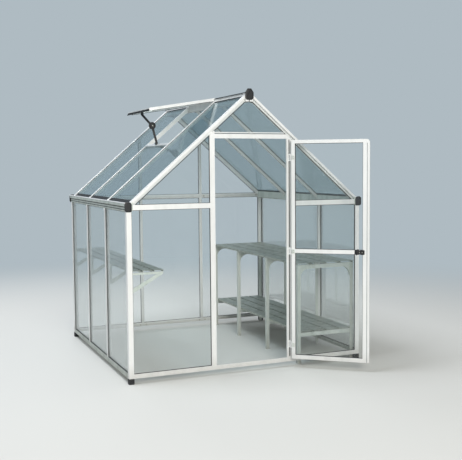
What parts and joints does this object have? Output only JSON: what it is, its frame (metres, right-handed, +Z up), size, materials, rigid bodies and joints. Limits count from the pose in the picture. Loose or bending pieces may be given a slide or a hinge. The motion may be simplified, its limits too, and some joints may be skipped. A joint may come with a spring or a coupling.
{
  "type": "polycarbonate greenhouse",
  "caption": "Small walk-in greenhouse with an aluminium frame, clear panes, a steep gable roof with a propped roof vent, and a hinged door that stands open.",
  "frame": {"origin": "underside of the front left corner foot, on the floor", "axes": "+X to the right along the front wall, +Y from the front wall to the back wall, +Z up"},
  "size_m": [1.871, 2.2423, 2.064],
  "materials": {
    "bar": "satin",
    "pane": "clear",
    "black": "moulded",
    "slat": "satin"
  },
  "bodies": {
    "house": {"front_base_rail": "bar", "back_base_rail": "bar", "side_base_rails": "bar", "corner_feet": "black", "corner_posts": "bar", "side_wall_studs": "bar", "door_posts": "bar", "door_header": "bar", "front_eave_bars": "bar", "back_wall_studs": "bar", "back_eave_bars": "bar", "left_eave_gutter": "bar", "right_eave_gutter": "bar", "gutter_end_caps": "black", "ridge_beam": "bar", "ridge_end_caps": "black", "front_rafters": "bar", "back_rafters": "bar", "left_roof_bars": "bar", "right_roof_bars": "bar", "vent_sill": "bar", "left_wall_panes": "pane", "right_wall_panes": "pane", "front_panes": "pane", "back_panes": "pane", "left_roof_panes": "pane", "right_roof_panes": "pane", "vent_cross_rails": "bar", "vent_side_rails": "bar", "vent_pane": "pane", "vent_stay_arms": "black", "vent_stay_brackets": "black", "vent_stay_knob": "black", "door_hinge_brackets": "bar", "left_shelf_slats": "slat", "left_shelf_brackets": "slat", "staging_slats": "slat", "staging_legs": "slat", "staging_ties": "slat"},
    "door": {"door_stiles": "bar", "door_rails": "bar", "door_panes": "pane", "door_latch": "black", "door_hinge_knuckles": "bar"}
  },
  "joints": [
    {"name": "door_swing", "type": "hinge", "parent": "house", "child": "door", "pos_m": [1.2245, -0.041, 0.875], "axis": [0, 0, 1], "range_deg": [-140, 30]}
  ]
}
